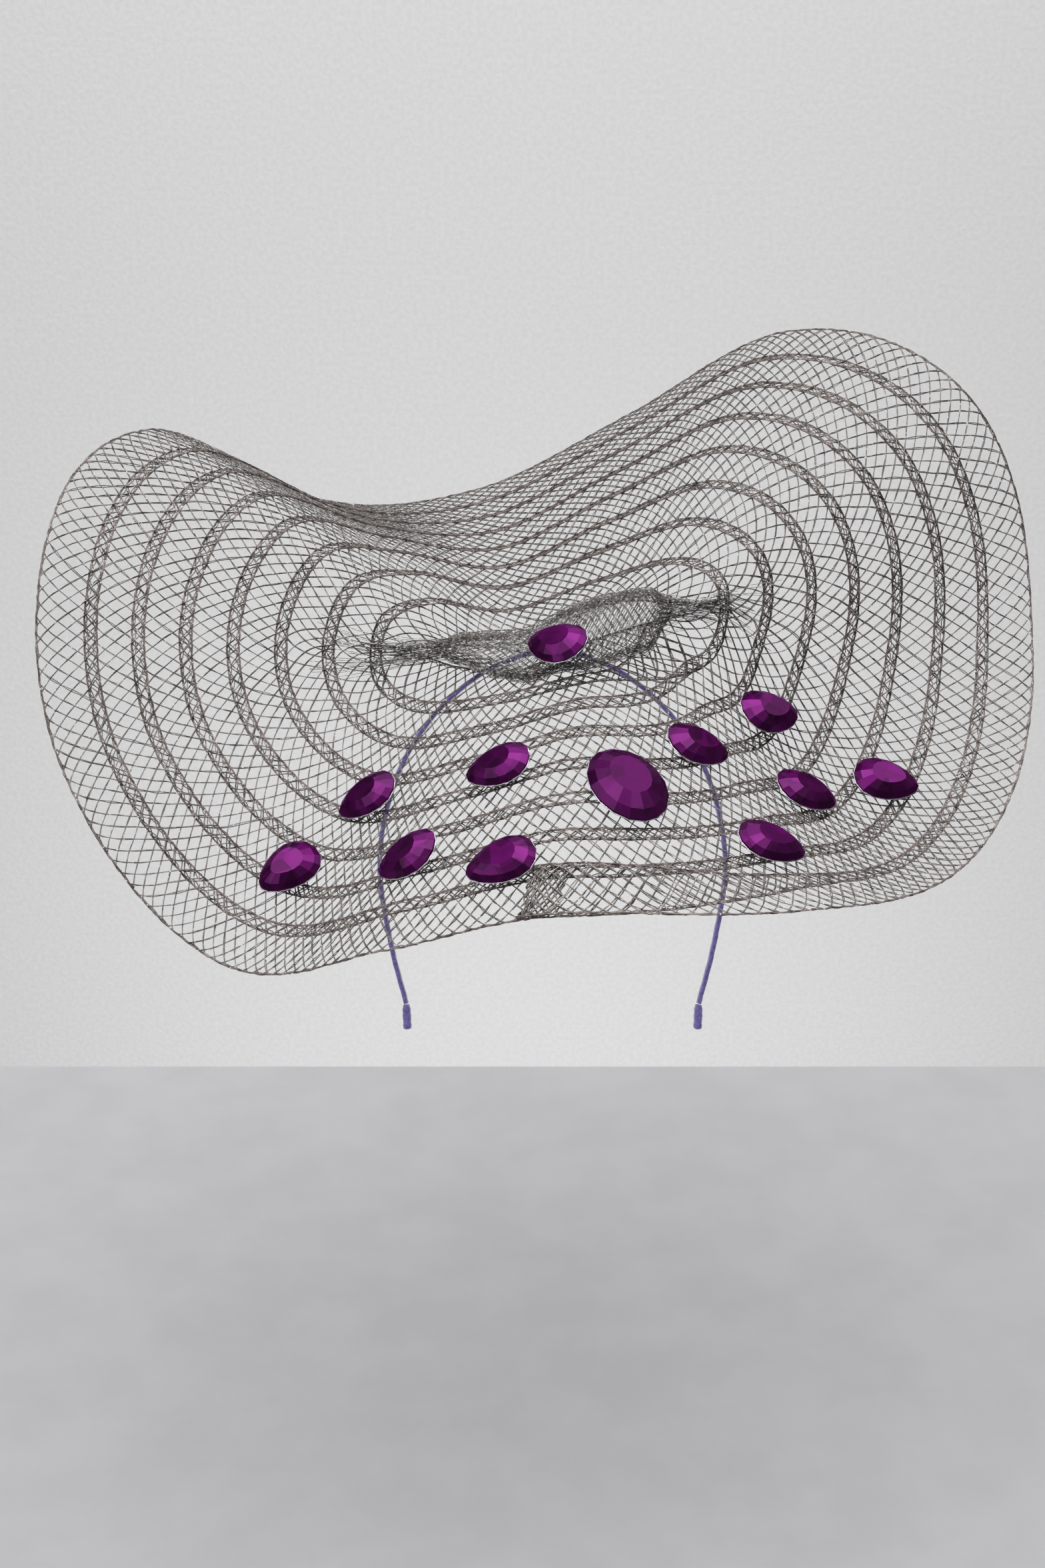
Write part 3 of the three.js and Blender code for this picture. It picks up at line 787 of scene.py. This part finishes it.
def roll(left, right, rng, row, count=9):
    """A rolled fold: filaments wound both ways round a line along the knot, each a helix of the roll's
    radius with its own phase and a radius that swells and shrinks."""
    t = np.linspace(row["start"], row["end"], 110)
    x = left + (right - left) * t
    share = row["round_start"] + (row["round_end"] - row["round_start"]) * smooth(
        (t - row["start"]) / (row["end"] - row["start"]))
    hand = np.where(np.arange(count) % 2, 1, -1)[:, None]
    phase = 2 * np.pi * np.arange(count)[:, None] / count + rng.normal(0, 0.3, (count, 1))
    turns = hand * 2 * np.pi * (x - left) / (19 * MM) + phase
    swell = row["radius"] * MM * (0.8 + drift(rng, x, count, 0.3, (0.011, 0.023)))
    swell = swell * smooth((t - row["start"]) / 0.08) * smooth((row["end"] - t) / 0.08)
    return knot_point(x, share + swell * np.cos(turns) / (34 * MM), swell * (1 + np.sin(turns)))


# The knot's strands beside the net's: their thickness, and the shares of the net's dark and bright colours left
# in them, a painted shade of the gathered folds
GATHERED_STRAND = 0.27
GATHERED_SHADED_DARK, GATHERED_SHADED_BRIGHT = (0.5, 0.5, 0.5, 1), (0.8, 0.8, 0.8, 1)
GATHERED_LAYERS = 3


class FASCINATOR_OT_knot(bpy.types.Operator):
    """Gather the start of the braid into the knot over the slit"""
    bl_idname = "fascinator.knot"
    bl_label = "Gather the knot"

    def execute(self, context):
        net = context.scene.fascinator_crin
        rng = np.random.default_rng(12)
        left, right = KNOT_SECTIONS["x"][0] * MM, KNOT_SECTIONS["x"][-1] * MM
        radius = GATHERED_STRAND * net.strand_diameter
        # The net's colours darkened as painted shade of the gathered folds; 0.56 is where the painted glints
        # begin
        dark, bright = np.array(net.dark) * GATHERED_SHADED_DARK, np.array(net.bright) * GATHERED_SHADED_BRIGHT
        material = filament_material("shaded_gathered_filament", tuple(dark), tuple(bright), 0.5, 0.56)
        parts = {
            f"gathered_net_{layer + 1}": gathered_sheet(left, right, net, rng, layer)
            for layer in range(GATHERED_LAYERS)}
        parts["gathered_rolls"] = np.concatenate([roll(left, right, rng, row) for row in KNOT_ROLLS])
        for name, lines in parts.items():
            piece = tubes(name, lines, radius, material)
            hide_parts("gathered_knot")
        gathers = np.concatenate([drawn_strands(rng, *row) for row in DRAWN_ENDS])
        piece = tubes("drawn_strands", gathers, radius, material)
        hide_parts("gathered_knot")
        return {"FINISHED"}


def band_line():
    """The band's middle line as evenly spaced points: a smooth curve (centripetal Catmull-Rom) through the
    path and its mirror image over the crown."""
    half, drop = BAND_PATH["half"] * MM, BAND_PATH["drop"] * MM
    knots = np.concatenate([
        np.stack([-half, 0 * half, -drop], -1)[::-1], np.zeros((1, 3)), np.stack([half, 0 * half, -drop], -1)])
    ends = np.concatenate([2 * knots[:1] - knots[1:2], knots, 2 * knots[-1:] - knots[-2:-1]])
    time = np.concatenate([[0], np.cumsum(np.linalg.norm(np.diff(ends, axis=0), axis=1) ** 0.5)])
    t = np.linspace(time[1], time[-2], 4001)
    row = np.clip(np.searchsorted(time, t, side="right") - 1, 1, len(time) - 3)

    def blend(a, b, ta, tb):
        return a * ((tb - t) / (tb - ta))[:, None] + b * ((t - ta) / (tb - ta))[:, None]

    p, s = [ends[row + k] for k in (-1, 0, 1, 2)], [time[row + k] for k in (-1, 0, 1, 2)]
    a = [blend(p[k], p[k + 1], s[k], s[k + 1]) for k in range(3)]
    b = [blend(a[k], a[k + 1], s[k], s[k + 2]) for k in range(2)]
    line = blend(b[0], b[1], s[1], s[2])
    length = lengths_along(line)
    even = np.linspace(0, length[-1], 780)
    return np.stack([np.interp(even, length, line[:, k]) for k in range(3)], -1), even


def loft_faces(points):
    """Indices of a lofted skin's points, ring by ring, and its quads from each ring to the next."""
    index = np.arange(points[..., 0].size).reshape(points.shape[:2])
    a, b = index[:-1], index[1:]
    return index, np.stack([a, b, np.roll(b, -1, 1), np.roll(a, -1, 1)], -1).reshape(-1, 4)


def in_band_frame(points):
    """From the upright band's frame to the worn position: up by half its thickness, then leant back."""
    return turned(points + np.array([0, 0, BAND_THICKNESS / 2]), BAND_LEAN, 0)


def folded_tip(line, side):
    """The ribbon folded over an end of the band: a rounded box along the end's direction, turned out a
    little, whose thickness steps up at each of two folds and closes at the end."""
    end = line[0] if side < 0 else line[-1]
    away = unit(line[0] - line[1] if side < 0 else line[-1] - line[-2])
    flare = np.arctan2(-away[0] * side, -away[2]) - np.radians(TIP_FLARE)
    direction = np.array([-side * np.sin(flare), 0, -np.cos(flare)])
    outwards = np.array([-direction[2], 0, direction[0]])
    t = np.linspace(0, 1, 60)
    fold = 1 - 0.12 * ((t * 2.6) % 1)
    close = np.sqrt(np.clip(1 - ((t - 0.92) / 0.08).clip(0, 1) ** 2, 0.02, 1))
    open_up = 0.72 + 0.28 * smooth(t / 0.18)
    thick = TIP_THICKNESS / 2 * fold * close * open_up
    wide = TIP_WIDTH / 2 * (0.9 + 0.1 * fold) * (0.5 + 0.5 * close)
    angle = np.linspace(0, 2 * np.pi, 33)[:-1]
    across, through = rounded(np.cos(angle), TIP_SQUARENESS), rounded(np.sin(angle), TIP_SQUARENESS)
    middle = end + direction * (TIP_GAP + TIP_LENGTH * t)[:, None]
    points = middle[:, None] + outwards * (thick[:, None] * through)[..., None]
    points[..., 1] += wide[:, None] * across
    index, quads = loft_faces(points)
    if np.cross(direction, outwards)[1] < 0:
        quads = quads[:, ::-1]
        return in_band_frame(points), quads, [index[0].tolist(), index[-1][::-1].tolist()]
    return in_band_frame(points), quads, [index[0][::-1].tolist(), index[-1].tolist()]


class FASCINATOR_OT_band(bpy.types.Operator):
    """Wrap the alice band in satin ribbon"""
    bl_idname = "fascinator.band"
    bl_label = "Wrap the band"

    def execute(self, context):
        band = context.scene.fascinator_band
        line, length = band_line()
        tangent = unit(np.gradient(line, axis=0))
        outwards = np.stack([-tangent[:, 2], 0 * length, tangent[:, 0]], -1)
        angle = np.linspace(0, 2 * np.pi, 25)[:-1]
        wide = rounded(np.cos(angle), BAND_SQUARENESS)
        high = rounded(np.sin(angle), BAND_SQUARENESS)
        wrap = (length[:, None] / band.wrap + angle / (2 * np.pi)) % 1
        proud = 0.18 * MM * smooth(wrap / 0.12) * (1 - wrap) - 0.08 * MM
        points = line[:, None] + (outwards[:, None] * (high * (BAND_THICKNESS / 2 + proud))[..., None])
        points[..., 1] += wide * (BAND_WIDTH / 2 + proud)
        index, quads = loft_faces(points)
        caps = [index[0][::-1].tolist(), index[-1].tolist()]
        material = ribbon_material("satin_ribbon", tuple(band.ribbon))
        piece = new_piece("ribbon_wrap", in_band_frame(points), quads.tolist() + caps, material, "band_ribbon")
        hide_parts("headband")
        for side, name in ((-1, "band_tip_left"), (1, "band_tip_right")):
            points, quads, caps = folded_tip(line, side)
            piece = new_piece(f"folded_{name[5:]}", points, quads.tolist() + caps, material, "band_end")
            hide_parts(name)
        return {"FINISHED"}


def back_outline(mesh):
    """The outline of a stone's flat back as a closed line: the corners lying furthest along the normal that
    most of the area shares, in order of their angle about the middle."""
    points = np.empty(len(mesh.vertices) * 3)
    normals, areas = np.empty(len(mesh.polygons) * 3), np.empty(len(mesh.polygons))
    mesh.vertices.foreach_get("co", points)
    mesh.polygons.foreach_get("normal", normals)
    mesh.polygons.foreach_get("area", areas)
    points, normals = points.reshape(-1, 3), normals.reshape(-1, 3)
    back = normals[np.argmax((normals @ normals.T > 0.999) @ areas)]
    height = points @ back
    rim = np.unique(points[height > height.max() - 0.1 * MM].round(6), axis=0)
    middle = rim.mean(0)
    first = unit(rim[0] - middle)
    angle = np.arctan2((rim - middle) @ np.cross(back, first), (rim - middle) @ first)
    rim = rim[np.argsort(angle)]
    return np.concatenate([rim, rim[:1]])


FOIL_RIM = 0.24 * MM
# The share of the lit facets' colour left in the oval stone: painted shade that darkens the oval as a whole
OVAL_PAINTED_SHADE = 0.68


class FASCINATOR_OT_stones(bpy.types.Operator):
    """Give the stones their foiled purple finish, with painted facet light and shade, and the rims of their foil
    """
    bl_idname = "fascinator.stones"
    bl_label = "Finish the stones"

    def execute(self, context):
        settings = context.scene.fascinator_stones
        pear, oval = stone_material("foiled_stone", settings), stone_material("shaded_foiled_oval", settings, OVAL_PAINTED_SHADE)
        for name in STONES:
            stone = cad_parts[name]
            stone.data.materials.clear()
            stone.data.materials.append(oval if name == "gem_oval" else pear)
        rims = np.stack([back_outline(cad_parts[name].data) for name in STONES])
        tubes("foil_rims", rims, FOIL_RIM, foil_material(), 5)
        return {"FINISHED"}


# The room in metres: the table's half width, front edge and thickness, and the wall's distance and corners
TABLE_HALF_WIDTH, TABLE_FRONT, TABLE_THICKNESS = 3.0, -3.0, 0.03
WALL_Y, WALL_HALF_WIDTH, WALL_FOOT, WALL_TOP = 2.2, 6, -4, 5

# The lights: name, place, what each points at, width in metres, power in watts, colour
LIGHTS = (
    ("window", (-1.7, -1.0, 1.7), (0, 0, 0), 2.6, 28, (1.0, 1.0, 1.0)),
    ("ceiling", (0.3, 0.7, 2.2), (0, 0, 0), 3.0, 47, (1.0, 0.99, 0.98)),
    ("wall_wash", (0.0, 0.4, 2.4), (0, WALL_Y, -0.4), 2.0, 22, (1.0, 1.0, 1.0)),
    ("low_wall_wash", (0.0, 0.6, -1.7), (0, WALL_Y, -1.1), 1.4, 16, (1.0, 1.0, 1.0)),
)
BRIGHT_WAY = (-0.10, 0.45, 0.80)
DIM_ROOM, BRIGHT_ROOM = (0.20, 0.20, 0.21, 1), (1.0, 1.0, 1.0, 1)

CAMERA_PLACE = (-0.0125, -0.8579, 0.3049)
CAMERA_DOWN = 23
FOCAL_LENGTH, SENSOR_WIDTH = 50, 36


def add_room(stage):
    """The table, a box whose top is at the table's level, and the wall behind it, one upright plane."""
    level, back, wide = stage.table_level, stage.table_back, TABLE_HALF_WIDTH
    box = np.array([
        (x, y, z) for x in (-wide, wide) for y in (TABLE_FRONT, back) for z in (level - TABLE_THICKNESS, level)])
    faces = [(0, 1, 3, 2), (4, 6, 7, 5), (0, 4, 5, 1), (2, 3, 7, 6), (0, 2, 6, 4), (1, 5, 7, 3)]
    surface = plaster_material("pale_table", tuple(stage.table), 30.0, 0.05)
    table = new_piece("table", box, faces, surface, None, False)
    points = [(x, WALL_Y, z) for x, z in (
        (-WALL_HALF_WIDTH, WALL_FOOT), (WALL_HALF_WIDTH, WALL_FOOT),
        (WALL_HALF_WIDTH, WALL_TOP), (-WALL_HALF_WIDTH, WALL_TOP))]
    surface = plaster_material("painted_wall", tuple(stage.wall), 150.0, 0.25)
    wall = new_piece("wall", points, [(0, 1, 2, 3)], surface, None, False)
    return table, wall


def add_light(scene, name, where, towards, size, power, colour):
    """A square soft light, turned down from upright and then about Z so that it faces its target."""
    lamp = bpy.data.lights.new(name, "AREA")
    lamp.size, lamp.energy, lamp.color = size, power, colour
    light = bpy.data.objects.new(name, lamp)
    aim = np.array(towards) - np.array(where)
    light.location = where
    light.rotation_euler = (
        np.arctan2(np.hypot(aim[0], aim[1]), -aim[2]), 0, np.arctan2(aim[1], aim[0]) - np.pi / 2)
    scene.collection.objects.link(light)


def room_light():
    """A world that fades from dim in front to bright above and behind, by direction alone."""
    world = bpy.data.worlds.new("room")
    world.use_nodes = True
    nodes, links = world.node_tree.nodes, world.node_tree.links
    place, part = nodes.new("ShaderNodeTexCoord"), nodes.new("ShaderNodeVectorMath")
    part.operation = "DOT_PRODUCT"
    part.inputs[1].default_value = BRIGHT_WAY
    fade = nodes.new("ShaderNodeValToRGB")
    dim, bright = fade.color_ramp.elements
    dim.position, dim.color = 0.0, DIM_ROOM
    bright.position, bright.color = 0.75, BRIGHT_ROOM
    links.new(place.outputs["Generated"], part.inputs[0])
    links.new(part.outputs["Value"], fade.inputs["Fac"])
    links.new(fade.outputs["Color"], nodes["Background"].inputs["Color"])
    nodes["Background"].inputs["Strength"].default_value = 1.0
    return world


def add_camera(scene):
    """The camera in front of the brim and a little above it, looking down on it."""
    lens = bpy.data.cameras.new("camera")
    lens.lens, lens.sensor_width, lens.sensor_fit = FOCAL_LENGTH, SENSOR_WIDTH, "AUTO"
    lens.clip_start, lens.clip_end = 0.01, 20
    camera = bpy.data.objects.new("camera", lens)
    camera.location = CAMERA_PLACE
    camera.rotation_euler = (np.radians(90 - CAMERA_DOWN), 0, 0)
    scene.collection.objects.link(camera)
    scene.camera = camera


class FASCINATOR_OT_stage(bpy.types.Operator):
    """Set up the table, the wall, the lights and the camera"""
    bl_idname = "fascinator.stage"
    bl_label = "Set the stage"

    def execute(self, context):
        scene = context.scene
        table, wall = add_room(scene.fascinator_stage)
        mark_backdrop(table, wall)
        for row in LIGHTS:
            add_light(scene, *row)
        scene.world = room_light()
        scene.view_settings.view_transform = "Standard"
        add_camera(scene)
        return {"FINISHED"}


class FASCINATOR_PT_panel(bpy.types.Panel):
    """The fascinator's makers in the 3D view's sidebar"""
    bl_label = "Fascinator"
    bl_idname = "FASCINATOR_PT_panel"
    bl_space_type = "VIEW_3D"
    bl_region_type = "UI"
    bl_category = "Fascinator"

    def draw(self, context):
        for operator in OPERATORS:
            self.layout.operator(operator.bl_idname)
        for group in SETTINGS:
            settings = getattr(context.scene, group)
            for name in settings.__annotations__:
                self.layout.prop(settings, name)


SETTINGS = {
    "fascinator_crin": CrinSettings,
    "fascinator_band": BandSettings,
    "fascinator_stones": StoneSettings,
    "fascinator_stage": StageSettings,
}
OPERATORS = (
    FASCINATOR_OT_stage,
    FASCINATOR_OT_braid,
    FASCINATOR_OT_knot,
    FASCINATOR_OT_band,
    FASCINATOR_OT_stones,
)


def register():
    for group in (*SETTINGS.values(), *OPERATORS, FASCINATOR_PT_panel):
        bpy.utils.register_class(group)
    for name, group in SETTINGS.items():
        setattr(bpy.types.Scene, name, PointerProperty(type=group))


def unregister():
    for name in SETTINGS:
        delattr(bpy.types.Scene, name)
    for group in reversed((*SETTINGS.values(), *OPERATORS, FASCINATOR_PT_panel)):
        bpy.utils.unregister_class(group)


def main():
    register()
    bpy.ops.fascinator.stage()
    bpy.ops.fascinator.braid()
    bpy.ops.fascinator.knot()
    bpy.ops.fascinator.band()
    bpy.ops.fascinator.stones()
    sizes = {"cad": CAD_BOX, "visual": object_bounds()}
    {name: [list(corner) for corner in box] for name, box in sizes.items()}


if __name__ == "__main__":
    main()
